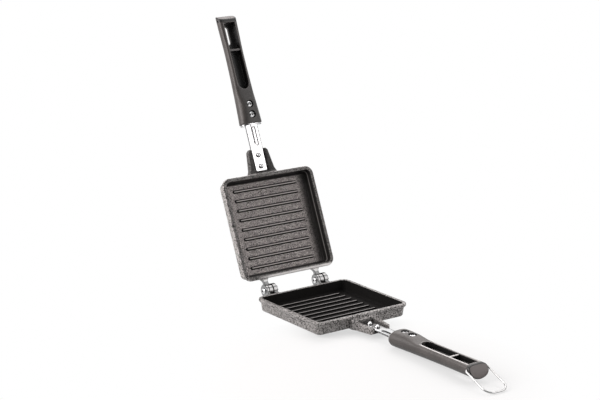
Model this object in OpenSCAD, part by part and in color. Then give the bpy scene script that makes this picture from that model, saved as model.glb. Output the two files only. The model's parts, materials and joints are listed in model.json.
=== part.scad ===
// Pie iron for the hob: two ribbed square pans hinged at the back, each with a cast lug,
// a riveted steel strip and a moulded handle. A wire bail on the base handle locks the two.
// Origin: centre of the base pan's outer face. +X runs along the hinge, +Y towards it, +Z up.
// Millimetres. Distances called "out" are measured outwards from the front edge of the rim,
// and distances called "in" from the handle's pan end towards its far end.

/* [Pan] */
// Width of each pan over its rim
pan_w = 140; // [120:1:170]
// Length of each pan over its rim, from the handle side to the hinge side
pan_l = 133.5; // [115:0.5:165]
// Height of one pan, from its outer face to its rim
pan_h = 17; // [15:0.5:24]
// Radius of the rim's corners
corner_r = 11; // [10:0.5:18]
// Thickness of the cooking floor
floor_t = 3; // [2.4:0.1:4.5]
// Thickness of the wall behind the lip
wall_t = 2.6; // [2.2:0.1:3.2]
// How far the lip stands out from the wall
lip_out = 2.6; // [1.6:0.1:3.2]
// Height of the lip
lip_h = 4; // [3:0.1:5]
// How far the outside of the wall leans in, from the lip to the outer face
draft_out = 1.4; // [1:0.1:2.6]
// How far the inside of the wall leans in, from the rim to the floor
draft_in = 1.6; // [1:0.1:2]
// Radius between the wall and the cooking floor
fillet_r = 3; // [1.5:0.1:3.5]
// Radius along the outer edge of the outer face
foot_r = 2.8; // [1:0.1:3.2]
// Gap between the two rims when the iron is closed
rim_gap = 0.2; // [0.1:0.05:0.5]

/* [Grill ribs] */
// Number of ribs in each pan
rib_n = 9; // [5:1:9]
// Distance from one rib to the next
rib_pitch = 12.5; // [10:0.1:13]
// Length of each rib, tip to tip
rib_l = 98; // [60:1:104]
// Width of a rib at its foot
rib_w = 3; // [2.4:0.1:4]
// Height of a rib above the floor
rib_h = 1.9; // [1.2:0.1:3]

/* [Cast lug] */
// How far the lug reaches out from the rim
lug_l = 33.5; // [31:0.5:38]
// Width of the lug where it leaves the pan
lug_root_w = 40; // [36:0.5:48]
// Width of the lug at its tip
lug_tip_w = 29; // [27:0.5:33]
// Height of the cheeks at the pan, above the outer face
cheek_root_h = 8.8; // [8.5:0.1:11]
// Height of the cheeks at the tip, above the outer face
cheek_tip_h = 8; // [7.5:0.1:9.5]
// Height of the cheeks' underside at the tip
cheek_lift = 1; // [0.6:0.1:1.4]
// Radius that blends the cheeks up into the rim
cheek_blend_r = 4.5; // [3:0.5:6]
// Underside of the web between the cheeks
web_z = 1.8; // [1.2:0.1:2.2]
// Thickness of the web that the strip is riveted to
web_t = 2.6; // [2:0.1:3]

/* [Steel strip] */
// Width of the strip
strip_w = 18; // [15:0.5:18.6]
// Thickness of the strip
strip_t = 1.6; // [1.2:0.1:2]
// Where the strip starts, out from the rim
strip_out = 4.4; // [3.6:0.1:6]
// How far the strip reaches into the handle
tang_in = 36; // [32:0.5:40]
// Width of the groove pressed along the strip
groove_w = 4; // [3:0.5:5]
// Distance of the groove from the middle of the strip
groove_side = 2.6; // [0:0.1:3]
// Depth of the groove
groove_d = 0.8; // [0.4:0.1:1]
// Distance from the lug's tip to the groove
groove_gap = 4.5; // [2:0.5:8]

/* [Rivets] */
// Distance of the first rivet out from the rim
rivet_first = 10.5; // [8:0.1:12]
// Distance between the two rivets
rivet_pitch = 14.8; // [11:0.1:16]
// Diameter of the shank
rivet_d = 4; // [3:0.1:5]
// Diameter of the domed head
rivet_head_d = 6.6; // [6:0.1:8]
// Height of the domed head
rivet_head_h = 3.4; // [2.4:0.1:3.8]
// Diameter of the closed end under the web
rivet_tail_d = 6.4; // [5.6:0.1:8]
// Height of the closed end
rivet_tail_h = 1; // [0.6:0.1:1.2]

/* [Handle] */
// Where the handle starts, out from the rim
handle_out = 67; // [66:0.5:72]
// Length of the handle along its flat side
handle_l = 140; // [134:0.5:150]
// Level of the handle's centre line
grip_z = 5.2; // [4.8:0.1:5.6]
// Half width of the handle at the pan end
grip_w_near = 15.9; // [15:0.1:18]
// Half width of the handle at its waist
grip_w_mid = 12.5; // [12.2:0.1:14.5]
// Half width of the handle at its far end
grip_w_far = 13.8; // [12.4:0.1:14.2]
// Top of the domed part that the screws go through
dome_z = 15.6; // [15:0.1:16.6]
// Level of the flat face
flat_z = 12; // [11:0.1:13]
// Round back of the handle, at the pan end
back_z_near = -6.2; // [-7:0.1:-5]
// Round back of the handle, at the far end
back_z_far = -4.4; // [-5.6:0.1:-4.2]
// Slant of the end face
end_slant = 24; // [0:1:32]
// How far the end face bulges between its top and its bottom
end_bulge = 1.6; // [0.8:0.1:2]
// Thickness of the steel ferrule at the pan end
ferrule_t = 2; // [1.5:0.1:3.5]
// How far the ferrule stays inside the handle's outline
ferrule_inset = 0.7; // [0.3:0.1:1.5]

/* [Handle pocket] */
// Where the pocket starts, in from the pan end
pocket_in = 46; // [43.5:0.5:56]
// Flat left between the pocket and the end of the handle
pocket_end_wall = 4.4; // [4:0.1:7]
// Width of the pocket
pocket_w = 17; // [12:0.5:18.4]
// Thickness of the round back behind the pocket
pocket_back_t = 3; // [2.5:0.1:5]
// Distance of the cross rib in from the pan end
bridge_in = 99; // [86:1:103]
// Thickness of the cross rib
bridge_t = 2.6; // [2:0.1:5]
// How far the cross rib lies below the flat face
bridge_drop = 2.3; // [1:0.1:4]
// Width of the hanging slot through the back
slot_w = 8; // [5:0.5:10]
// Length of the hanging slot
slot_l = 25; // [14:0.5:28]

/* [Handle screws] */
// Distance of the first screw in from the pan end
screw_in = 11.4; // [9:0.1:12]
// Distance between the two screws
screw_pitch = 13.8; // [12:0.1:15]
// Diameter of the screw's thread
screw_d = 5; // [4:0.1:5.6]
// Diameter of the screw's head
screw_head_d = 8.4; // [7:0.1:9]
// Height of the screw's head
screw_head_h = 2.4; // [1.8:0.1:2.6]
// Depth of the counterbore below the domed top
counterbore_depth = 3; // [2.8:0.1:4]
// Diameter of the counterbore
counterbore_d = 10; // [9.4:0.1:11]
// Width of the slot in the head
driver_slot_w = 1.3; // [0.8:0.1:1.8]
// Width across the flats of the nut
nut_af = 8; // [7:0.1:9]
// Thickness of the nut
nut_t = 3.2; // [2.4:0.1:3.8]
// Level of the nut's seat in the handle's back
nut_seat_z = -1.6; // [-2:0.1:-0.8]

/* [Hinge] */
// Distance of the hinge axis behind the rim
hinge_back = 15.2; // [14:0.1:18]
// Distance of the middle of each hinge in from the side of the pan
hinge_inset = 30.4; // [24:0.2:40]
// Diameter of the hinge bolt
hinge_bolt_d = 5; // [4:0.1:6]
// Radius of the base pan's ears
ear_r = 7.8; // [7:0.1:8.4]
// Thickness of the ear under the bolt's head
ear_head_t = 3.2; // [2.6:0.1:4.5]
// Thickness of the ear under the nut
ear_nut_t = 5.4; // [4:0.1:6.5]
// Width of the lid's tongue between the ears
tongue_w = 6; // [4.5:0.1:8]
// Radius of the tongue's round end
tongue_r = 7.2; // [6:0.1:7.6]
// How far the tongue's stop nose reaches from the hinge axis
nose_r = 11.6; // [11:0.1:12]
// Thickness of the stop nose
nose_t = 4.5; // [3:0.1:5]
// Diameter of the bolt's domed head
bolt_head_d = 7.6; // [7:0.1:9]
// Height of the bolt's domed head
bolt_head_h = 2.6; // [1.8:0.1:3.2]
// Diameter of the washer under the nut
washer_d = 9.6; // [9:0.1:11]
// Thickness of the washer
washer_t = 0.8; // [0.6:0.1:1.4]
// Thickness of the hinge nut
hinge_nut_t = 2.4; // [2:0.1:4]
// How far the lid stands open, as it is drawn
lid_open = 113; // [100:1:115]

/* [Bail] */
// Diameter of the bail's wire
wire_d = 2.3; // [1.8:0.1:2.8]
// Distance of the bail's pivot from the end of the flat side
bail_in = 1.2; // [-0.6:0.1:1.4]
// Level of the bail's pivot
bail_z = 6.5; // [5:0.1:6.8]
// Half width of the bail, to the middle of the wire
bail_half_w = 15.9; // [15.6:0.1:18]
// Reach of the bail, from the pivot to the middle of its tip bar
bail_reach = 42; // [41:0.5:52]
// Bend radius at the pivots
bail_bend_r = 2.6; // [2.2:0.1:3]
// Bend radius at the tip
bail_tip_r = 11; // [4:0.5:11]
// Depth of each pivot end inside the handle
bail_grip = 4.5; // [3:0.1:6]
// How far the bail hangs below the handle's line, as it is drawn
bail_hang = 23; // [10:1:24]

/* [Fits] */
// Radial clearance of a moving pin in its hole
run_gap = 0.06; // [0.03:0.01:0.1]
// Radial clearance of a fixed screw, bolt or rivet in its hole
fit_gap = 0.05; // [0.02:0.01:0.2]
// Clearance beside the hinge tongue and at its stop
side_gap = 0.3; // [0.15:0.05:0.5]
// Clearance round the strip in the lug and in the handle
strip_gap = 0.7; // [0.3:0.1:1]
// Clearance above and below the strip in the handle
tang_gap = 0.05; // [0.02:0.01:0.2]

/* [Hidden] */
$fn = 48;

casting = "DimGray";
steel = "Gainsboro";
moulding = [0.2, 0.18, 0.17];

rim_front = -pan_l / 2;
rim_back = pan_l / 2;
rim_w = lip_out + wall_t;
hinge_x = pan_w / 2 - hinge_inset;
hinge_y = rim_back + hinge_back;
hinge_z = pan_h + rim_gap / 2;
sink = 0.3;
through = 60;
inner_fillet = min(fillet_r, corner_r - rim_w - draft_in - 0.2);

strip_z = web_z + web_t;
strip_top = strip_z + strip_t;
lug_gap = strip_w / 2 + strip_gap;
lug_start = strip_out - 1;
rivet_out = [rivet_first, rivet_first + rivet_pitch];
tang_out = handle_out + tang_in;
groove_out = lug_l + groove_gap;
flat_end = handle_out + handle_l;
screw_out = [handle_out + screw_in, handle_out + screw_in + screw_pitch];
pocket_out = handle_out + pocket_in;
bridge_out = handle_out + bridge_in;
bail_out = flat_end - bail_in;
waist_out = handle_out + 0.66 * handle_l;
pocket_end = flat_end - pocket_end_wall;
end_run = (flat_z - back_z_far) * tan(end_slant);
counterbore_z = dome_z - counterbore_depth;

ear_in = tongue_w / 2 + side_gap;
head_face = -ear_in - ear_head_t;
nut_face = ear_in + ear_nut_t;
stop_y = hinge_y - 0.6;
stop_bottom = hinge_z - nose_r - 0.4;
stop_top = hinge_z - tongue_r - 0.7;
arm_z = 3;
arm_top = pan_h - 1.5;

// Points of an arc about (cx, cy), from angle a0 to a1 in n steps
function arc(cx, cy, r, a0, a1, n) =
    [for (i = [0:n]) let (a = a0 + (a1 - a0) * i / n) [cx + r * cos(a), cy + r * sin(a)]];

// Value of a smooth curve that goes from 0 at t = 0 to 1 at t = 1
function ease(t) = let (c = max(0, min(1, t))) c * c * (3 - 2 * c);

// Carries a shape drawn at "out" = +X, height = +Y onto the front of the pan, w wide
module side_view(w) {
    translate([w / 2, rim_front, 0])
        rotate([90, 0, -90])
            linear_extrude(w) children();
}

// Carries a plan drawn with "out" along +X onto the front of the pan, from z0 up by h
module plan_view(z0, h) {
    translate([0, rim_front, z0])
        rotate([0, 0, -90])
            linear_extrude(h) children();
}

// Turns a base part over into its place on the closed lid
module on_closed_lid() {
    translate([0, 0, 2 * hinge_z])
        mirror([0, 0, 1]) children();
}

// Swings closed lid parts about the hinge to where they are drawn
module opened() {
    translate([0, hinge_y, hinge_z])
        rotate([-lid_open, 0, 0])
            translate([0, -hinge_y, -hinge_z]) children();
}

// ---- pans ----

// Section of the wall, lip and floor edge: x = 0 is the corner's centre, x = corner_r the rim's edge
module wall_section() {
    wall_x = corner_r - lip_out;
    foot_x = wall_x - draft_out - foot_r;
    inner_x = corner_r - rim_w;
    fillet_x = inner_x - draft_in - inner_fillet;
    polygon(concat(
        [[0, 0]],
        arc(foot_x, foot_r, foot_r, -90, -10, 5),
        [[wall_x, pan_h - lip_h - 0.8]],
        [[corner_r - 0.8, pan_h - lip_h]],
        [[corner_r, pan_h - lip_h + 0.9]],
        arc(corner_r - 1.2, pan_h - 1.2, 1.2, 0, 90, 4),
        [[inner_x + 0.5, pan_h]],
        [[inner_x, pan_h - 0.5]],
        arc(fillet_x, floor_t + inner_fillet, inner_fillet, -5, -90, 6),
        [[0, floor_t]]));
}

// One straight side of the pan, of length l, whose rim is at distance d from the middle
module pan_side(l, d) {
    translate([d - corner_r, l / 2, 0])
        rotate([90, 0, 0])
            linear_extrude(l) wall_section();
}

module pan_shell() {
    core_w = pan_w - 2 * corner_r;
    core_l = pan_l - 2 * corner_r;
    translate([-core_w / 2, -core_l / 2, 0]) cube([core_w, core_l, floor_t]);
    for (side = [0, 1])
        rotate([0, 0, 180 * side]) {
            pan_side(core_l, pan_w / 2);
            rotate([0, 0, 90]) pan_side(core_w, pan_l / 2);
            translate([core_w / 2, core_l / 2, 0]) rotate_extrude(angle = 90) wall_section();
            translate([-core_w / 2, core_l / 2, 0])
                rotate([0, 0, 90]) rotate_extrude(angle = 90) wall_section();
        }
}

// Half section of a grill rib, from its middle outwards
module rib_section() {
    foot = rib_w / 2;
    polygon([[0, -sink], [foot, -sink], [foot, 0], [foot * 0.76, rib_h * 0.66], [foot * 0.42, rib_h], [0, rib_h]]);
}

module rib() {
    straight = rib_l - rib_w;
    for (side = [0, 1])
        rotate([0, 0, 180 * side]) {
            translate([-straight / 2, 0, 0])
                rotate([90, 0, 90]) linear_extrude(straight) rib_section();
            translate([straight / 2, 0, 0])
                rotate([0, 0, -90]) rotate_extrude(angle = 180) rib_section();
        }
}

module ribs() {
    for (i = [0:rib_n - 1])
        translate([0, (i - (rib_n - 1) / 2) * rib_pitch, floor_t]) rib();
}

// Cast lug: two tapering cheeks and the web between them, blended up into the rim
module lug() {
    root = -rim_w + 0.4;
    blend_z = cheek_root_h + cheek_blend_r;
    tip_half = lug_tip_w / 2;
    root_half = lug_root_w / 2;
    difference() {
        intersection() {
            side_view(lug_root_w + 2) polygon(concat(
                [[root, 0.5], [2, 0.5], [lug_l - 2, cheek_lift], [lug_l, cheek_lift + 1]],
                [[lug_l, cheek_tip_h - 1], [lug_l - 1, cheek_tip_h]],
                arc(cheek_blend_r - sink, blend_z, cheek_blend_r, 270, 180, 6),
                [[-sink, pan_h - 0.9], [root, pan_h - 0.9]]));
            plan_view(-1, pan_h + 2) polygon([
                [root, -root_half], [2, -root_half], [7, -root_half + 2.2],
                [lug_l - 3, -tip_half], [lug_l, -tip_half + 2.4],
                [lug_l, tip_half - 2.4], [lug_l - 3, tip_half],
                [7, root_half - 2.2], [2, root_half], [root, root_half]]);
        }
        plan_view(strip_z, pan_h)
            translate([lug_start, -lug_gap]) square([lug_l, 2 * lug_gap]);
        plan_view(-1, web_z + 1)
            translate([lug_start, -lug_gap]) square([lug_l, 2 * lug_gap]);
    }
}

module lug_rivet_holes() {
    for (out = rivet_out)
        translate([0, rim_front - out, -1]) cylinder(d = rivet_d + 2 * fit_gap, h = strip_z + 2);
}

// Pan with its ribs and lug, as both halves have it
module half_casting() {
    difference() {
        union() {
            pan_shell();
            ribs();
            lug();
        }
        lug_rivet_holes();
    }
}

// Side view of a hinge part, drawn in Y and Z, from x0 to x1 of each hinge
module hinge_slice(x0, x1) {
    translate([x0, 0, 0])
        rotate([90, 0, 90]) linear_extrude(x1 - x0) children();
}

module ear_profile() {
    polygon([
        [rim_back - rim_w + 0.4, arm_z], [stop_y, stop_bottom],
        [hinge_y + ear_r * cos(-40), hinge_z + ear_r * sin(-40)], [hinge_y, hinge_z],
        [hinge_y - ear_r, hinge_z], [rim_back + 6, arm_top], [rim_back - rim_w + 0.4, arm_top]]);
    translate([hinge_y, hinge_z]) circle(ear_r);
}

// Web between the two ears, whose end face stops the open lid
module stop_profile() {
    polygon([
        [rim_back - rim_w + 0.4, arm_z], [stop_y, stop_bottom],
        [stop_y, stop_top], [rim_back - rim_w + 0.4, stop_top]]);
}

module hinge_ears() {
    difference() {
        union() {
            hinge_slice(head_face, -ear_in) ear_profile();
            hinge_slice(ear_in, nut_face) ear_profile();
            hinge_slice(-ear_in - 1, ear_in + 1) stop_profile();
        }
        translate([-through / 2, hinge_y, hinge_z])
            rotate([0, 90, 0]) cylinder(d = hinge_bolt_d + 2 * fit_gap, h = through);
    }
}

// Tongue of the lid, drawn on the closed lid: round end, neck, flared root and stop nose
module hinge_tongue() {
    lid_z = 2 * hinge_z;
    root_y = rim_back - rim_w + 0.4;
    neck_top = lid_z - 12;
    flare = tongue_w * 0.8;
    difference() {
        union() {
            hinge_slice(-tongue_w / 2, tongue_w / 2) {
                translate([hinge_y, hinge_z]) circle(tongue_r);
                polygon([
                    [root_y, neck_top + 4.5], [root_y, lid_z - arm_top], [rim_back + 4, lid_z - arm_top],
                    [hinge_y - tongue_r, hinge_z], [hinge_y, hinge_z],
                    [hinge_y - tongue_r / 2, hinge_z + tongue_r * cos(30)], [rim_back + 5, neck_top]]);
            }
            intersection() {
                hinge_slice(-flare, flare)
                    polygon([
                        [root_y, neck_top + 4.5], [root_y, lid_z - arm_top],
                        [rim_back + 4.6, lid_z - arm_top], [rim_back + 4.6, neck_top]]);
                translate([0, 0, hinge_z]) linear_extrude(pan_h)
                    polygon([
                        [-flare, root_y], [flare, root_y], [flare, rim_back + 0.4],
                        [tongue_w * 0.58, rim_back + 2.2], [tongue_w / 2, rim_back + 4.6],
                        [-tongue_w / 2, rim_back + 4.6], [-tongue_w * 0.58, rim_back + 2.2],
                        [-flare, rim_back + 0.4]]);
            }
            translate([0, hinge_y, hinge_z]) rotate([lid_open, 0, 0])
                translate([-tongue_w / 2, stop_y - hinge_y + side_gap / 2, -nose_r])
                    cube([tongue_w, nose_t, nose_r]);
        }
        translate([-through / 2, hinge_y, hinge_z])
            rotate([0, 90, 0]) cylinder(d = hinge_bolt_d + 2 * run_gap, h = through);
    }
}

module base_pan() {
    color(casting) {
        half_casting();
        for (x = [-hinge_x, hinge_x]) translate([x, 0, 0]) hinge_ears();
    }
}

module lid_pan() {
    color(casting) opened() {
        on_closed_lid() half_casting();
        for (x = [-hinge_x, hinge_x]) translate([x, 0, 0]) hinge_tongue();
    }
}

// ---- strips and rivets ----

module strip() {
    groove_end = handle_out - ferrule_t - 2;
    round_r = 4;
    difference() {
        plan_view(strip_z, strip_t) {
            translate([strip_out, -strip_w / 2 + 1]) square([tang_out - strip_out - round_r, strip_w - 2]);
            translate([strip_out + 1, -strip_w / 2]) square([tang_out - strip_out - round_r - 1, strip_w]);
            for (y = [-strip_w / 2 + 1, strip_w / 2 - 1]) translate([strip_out + 1, y]) circle(1);
            translate([tang_out - round_r - 1, -strip_w / 2 + round_r])
                square([round_r + 1, strip_w - 2 * round_r]);
            for (y = [-strip_w / 2 + round_r, strip_w / 2 - round_r])
                translate([tang_out - round_r, y]) circle(round_r);
        }
        plan_view(strip_top - groove_d, strip_t) {
            translate([groove_out + groove_w / 2, -groove_side - groove_w / 2])
                square([groove_end - groove_out - groove_w / 2, groove_w]);
            translate([groove_out + groove_w / 2, -groove_side]) circle(groove_w / 2);
        }
        for (out = rivet_out)
            translate([0, rim_front - out, 0]) cylinder(d = rivet_d + 2 * fit_gap, h = pan_h);
        for (out = screw_out)
            translate([0, rim_front - out, 0]) cylinder(d = screw_d + 2 * fit_gap, h = pan_h);
    }
}

// A dome of diameter d and height h, cut from a ball
module dome(d, h) {
    ball_r = (d * d / 4 + h * h) / (2 * h);
    intersection() {
        translate([0, 0, h - ball_r]) sphere(ball_r);
        cylinder(d = d, h = h + 1);
    }
}

// Tall rivet head: a short straight side under a full dome
module button(d, h) {
    side_h = h - d * 0.42;
    cylinder(d = d, h = side_h);
    translate([0, 0, side_h]) dome(d, h - side_h);
}

module rivets() {
    for (out = rivet_out) translate([0, rim_front - out, 0]) {
        translate([0, 0, web_z - rivet_tail_h]) cylinder(d = rivet_tail_d, h = rivet_tail_h);
        translate([0, 0, web_z - rivet_tail_h / 2]) cylinder(d = rivet_d, h = strip_top - web_z + 1);
        translate([0, 0, strip_top]) button(rivet_head_d, rivet_head_h);
    }
}

// ---- handles ----

// Half width of the handle at a distance out from the rim
function grip_w(out) =
    out < waist_out
        ? grip_w_mid + (grip_w_near - grip_w_mid) * pow((waist_out - out) / (waist_out - handle_out), 2)
        : grip_w_mid + (grip_w_far - grip_w_mid) * ease((out - waist_out) / (flat_end - waist_out));

// Top of the handle: low at the pan end, domed at the screws, then down to the flat face
function grip_top(out) =
    out < screw_out[0]
        ? dome_z - 0.8 * pow((screw_out[0] - out) / (screw_out[0] - handle_out), 2)
        : flat_z + (dome_z - flat_z) * (1 - ease((out - screw_out[1] + 1) / (pocket_out - screw_out[1])));

function grip_back(out) =
    back_z_near + (back_z_far - back_z_near) * (out - handle_out) / (flat_end - handle_out);

// How square the upper half is: 2 is an ellipse, more gives a flat face with rounded corners
function squareness(out) = 2.4 + 1.2 * ease((out - screw_out[1]) / (pocket_out + 6 - screw_out[1]));

// Outline of the handle at a distance out, shrunk by inset: n points, in X and Z
function grip_outline(out, inset, n) =
    let (w = grip_w(out) - inset, up = grip_top(out) - grip_z - inset, down = grip_z - grip_back(out) - inset)
    [for (i = [0:n - 1])
        let (a = 360 * i / n, p = sin(a) >= 0 ? 2 / squareness(out) : 1)
        [w * sign(cos(a)) * pow(abs(cos(a)), p),
         grip_z + (sin(a) >= 0 ? up : down) * sign(sin(a)) * pow(abs(sin(a)), p)]];

// Skin through the handle's outlines, then the slanted end, pocket, slot and screw holes cut away
module handle_skin() {
    n = 44;
    edge = 1.2;
    stations = concat(
        [[handle_out, edge], [handle_out + 0.4, edge * 0.4], [handle_out + edge, 0]],
        [for (out = [handle_out + 6:6:pocket_out + 8]) [out, 0]],
        [for (out = [pocket_out + 16:14:flat_end - 8]) [out, 0]],
        [[flat_end, 0], [flat_end + end_run + 4, 0]]);
    rings = len(stations);
    points = [for (s = stations) for (p = grip_outline(min(s[0], flat_end), s[1], n)) [p[0], rim_front - s[0], p[1]]];
    sides = [for (r = [0:rings - 2]) for (i = [0:n - 1])
        let (a = r * n + i, b = r * n + (i + 1) % n) each [[a, b + n, b], [a, a + n, b + n]]];
    near_cap = [[for (i = [0:n - 1]) i]];
    far_cap = [[for (i = [0:n - 1]) rings * n - 1 - i]];
    polyhedron(points, concat(sides, near_cap, far_cap), convexity = 4);
}

// Space beyond the slanted, bulging end face
module beyond_end() {
    chord = (flat_z - back_z_far) / cos(end_slant);
    bulge_r = chord * chord / (8 * end_bulge) + end_bulge / 2;
    translate([0, rim_front - flat_end, flat_z])
        rotate([-end_slant, 0, 0])
            difference() {
                translate([-through / 2, -through, -through]) cube([through, through, 2 * through]);
                translate([-through, bulge_r - end_bulge, -chord / 2])
                    rotate([0, 90, 0]) cylinder(r = bulge_r, h = 2 * through);
            }
}

module handle_pocket() {
    half = pocket_w / 2;
    round_l = half * 1.15;
    floor_r = grip_w_mid - pocket_back_t;
    floor_z = grip_back(flat_end) + pocket_back_t + floor_r;
    cells = [[pocket_out, bridge_out - bridge_t / 2], [bridge_out + bridge_t / 2, pocket_end]];
    plan_view(flat_z - bridge_drop, through) pocket_plan(pocket_out, pocket_end, half, round_l);
    intersection() {
        plan_view(-through / 2, through) pocket_plan(cells[0][0], cells[0][1], half, round_l);
        pocket_depth(floor_r, floor_z);
    }
    intersection() {
        plan_view(-through / 2, through)
            translate([cells[1][0], -half]) square([cells[1][1] - cells[1][0], pocket_w]);
        pocket_depth(floor_r, floor_z);
    }
}

// Pocket seen from above: straight sides, square far end, tongue-shaped end towards the pan
module pocket_plan(from, to, half, round_l) {
    tip = [for (i = [0:12]) let (a = -90 + 15 * i) [from + round_l - round_l * cos(a), half * sin(a)]];
    polygon(concat([[to, half], [to, -half]], tip));
}

// Space over a round trough along the handle
module pocket_depth(r, z) {
    translate([0, rim_front - pocket_out + 5, z])
        rotate([90, 0, 0]) cylinder(r = r, h = flat_end - pocket_out + 10);
    translate([-r, rim_front - flat_end - 5, z])
        cube([2 * r, flat_end - pocket_out + 10, through]);
}

module hanging_slot() {
    slot_end = pocket_end - 2.5;
    plan_view(-through / 2, through / 2 + grip_z) {
        translate([slot_end - slot_l + slot_w / 2, -slot_w / 2]) square([slot_l - slot_w, slot_w]);
        for (out = [slot_end - slot_l + slot_w / 2, slot_end - slot_w / 2])
            translate([out, 0]) circle(slot_w / 2);
    }
}

module handle() {
    tang_half = strip_w / 2 + fit_gap;
    difference() {
        handle_skin();
        beyond_end();
        handle_pocket();
        hanging_slot();
        plan_view(strip_z - tang_gap, strip_t + 2 * tang_gap)
            translate([handle_out - 1, -tang_half]) square([tang_out - handle_out + 1.5, 2 * tang_half]);
        for (out = screw_out) translate([0, rim_front - out, 0]) {
            translate([0, 0, counterbore_z]) cylinder(d = counterbore_d, h = through);
            translate([0, 0, -through / 2]) cylinder(d = screw_d + 2 * fit_gap, h = through);
            translate([0, 0, nut_seat_z - through])
                rotate([0, 0, 30]) cylinder(r = (nut_af / 2 + fit_gap) / cos(30), h = through, $fn = 6);
        }
        translate([-through / 2, rim_front - bail_out, bail_z]) rotate([0, 90, 0]) bail_hole();
    }
}

// The two blind pivot holes, as one bore whose middle is filled again
module bail_hole() {
    blind = grip_w_far - bail_grip - 0.3;
    cylinder(d = wire_d + 2 * run_gap, h = through / 2 - blind);
    translate([0, 0, through / 2 + blind]) cylinder(d = wire_d + 2 * run_gap, h = through / 2 - blind);
}

module ferrule() {
    n = 44;
    difference() {
        translate([0, rim_front - handle_out + ferrule_t, 0])
            rotate([90, 0, 0]) linear_extrude(ferrule_t) polygon(grip_outline(handle_out, ferrule_inset + 0.6, n));
        plan_view(strip_z - tang_gap, strip_t + 2 * tang_gap)
            translate([handle_out - ferrule_t - 1, -strip_w / 2 - fit_gap])
                square([ferrule_t + 2, strip_w + 2 * fit_gap]);
    }
}

module handle_screws() {
    for (out = screw_out) translate([0, rim_front - out, 0]) {
        translate([0, 0, nut_seat_z - nut_t - 0.4])
            cylinder(d = screw_d, h = counterbore_z - nut_seat_z + nut_t + 1);
        difference() {
            translate([0, 0, counterbore_z]) dome_head(screw_head_d, screw_head_h);
            translate([-driver_slot_w / 2, -screw_head_d, counterbore_z + screw_head_h - 1.1])
                cube([driver_slot_w, 2 * screw_head_d, screw_head_h]);
        }
    }
}

// Screw head with a straight edge under a shallow dome
module dome_head(d, h) {
    cylinder(d = d, h = h * 0.45);
    translate([0, 0, h * 0.45]) dome(d, h * 0.55);
}

module hex_nut(t, bore) {
    difference() {
        rotate([0, 0, 30]) cylinder(r = nut_af / 2 / cos(30), h = t, $fn = 6);
        translate([0, 0, -1]) cylinder(d = bore + 2 * fit_gap, h = t + 2);
    }
}

module handle_nuts() {
    for (out = screw_out)
        translate([0, rim_front - out, nut_seat_z - nut_t]) hex_nut(nut_t, screw_d);
}

module base_strip() { color(steel) strip(); }
module base_rivets() { color(steel) rivets(); }
module base_ferrule() { color(steel) ferrule(); }
module base_handle() { color(moulding) handle(); }
module base_handle_screws() { color(steel) handle_screws(); }
module base_handle_nuts() { color(steel) handle_nuts(); }
module lid_strip() { color(steel) opened() on_closed_lid() mirror([1, 0, 0]) strip(); }
module lid_rivets() { color(steel) opened() on_closed_lid() rivets(); }
module lid_ferrule() { color(steel) opened() on_closed_lid() ferrule(); }
module lid_handle() { color(moulding) opened() on_closed_lid() handle(); }
module lid_handle_screws() { color(steel) opened() on_closed_lid() handle_screws(); }
module lid_handle_nuts() { color(steel) opened() on_closed_lid() handle_nuts(); }

// ---- hinge hardware ----

module at_hinge(x) {
    translate([x, hinge_y, hinge_z]) rotate([0, 90, 0]) children();
}

module hinge_bolt(x) {
    shank_end = nut_face + washer_t + hinge_nut_t + 0.6;
    color(steel) at_hinge(x) {
        translate([0, 0, head_face - 0.5]) cylinder(d = hinge_bolt_d, h = shank_end - head_face + 0.5);
        translate([0, 0, head_face]) mirror([0, 0, 1]) dome_head(bolt_head_d, bolt_head_h);
    }
}

module hinge_washer(x) {
    color(steel) at_hinge(x) translate([0, 0, nut_face]) difference() {
        cylinder(d = washer_d, h = washer_t);
        translate([0, 0, -1]) cylinder(d = hinge_bolt_d + 2 * fit_gap, h = washer_t + 2);
    }
}

module hinge_nut(x) {
    color(steel) at_hinge(x) translate([0, 0, nut_face + washer_t]) hex_nut(hinge_nut_t, hinge_bolt_d);
}

module hinge_bolt_left() { hinge_bolt(-hinge_x); }
module hinge_bolt_right() { hinge_bolt(hinge_x); }
module hinge_washer_left() { hinge_washer(-hinge_x); }
module hinge_washer_right() { hinge_washer(hinge_x); }
module hinge_nut_left() { hinge_nut(-hinge_x); }
module hinge_nut_right() { hinge_nut(hinge_x); }

// ---- bail ----

// Straight wire from (x, y) along +X by l
module wire_x(x, y, l) {
    translate([x, y, 0]) rotate([0, 90, 0]) cylinder(d = wire_d, h = l);
}

// Quarter bend of radius r about (x, y), starting at angle a
module wire_bend(x, y, r, a) {
    translate([x, y, 0]) rotate([0, 0, a]) rotate_extrude(angle = 90) translate([r, 0]) circle(d = wire_d);
}

// One half of the bail, flat, with its pivot on the X axis and its tip towards -Y
module bail_half() {
    pivot_end = grip_w_far - bail_grip;
    leg_top = -bail_bend_r;
    leg_end = -bail_reach + bail_tip_r;
    wire_x(pivot_end, 0, bail_half_w - bail_bend_r - pivot_end);
    wire_bend(bail_half_w - bail_bend_r, -bail_bend_r, bail_bend_r, 0);
    translate([bail_half_w, leg_top, 0]) rotate([90, 0, 0]) cylinder(d = wire_d, h = leg_top - leg_end);
    wire_bend(bail_half_w - bail_tip_r, leg_end, bail_tip_r, -90);
    wire_x(0, -bail_reach, bail_half_w - bail_tip_r);
}

module bail() {
    color(steel)
        translate([0, rim_front - bail_out, bail_z])
            rotate([bail_hang, 0, 0]) {
                bail_half();
                mirror([1, 0, 0]) bail_half();
            }
}

base_pan();
base_strip();
base_rivets();
base_ferrule();
base_handle();
base_handle_screws();
base_handle_nuts();
bail();
hinge_bolt_left();
hinge_bolt_right();
hinge_washer_left();
hinge_washer_right();
hinge_nut_left();
hinge_nut_right();
lid_pan();
lid_strip();
lid_rivets();
lid_ferrule();
lid_handle();
lid_handle_screws();
lid_handle_nuts();
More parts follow.
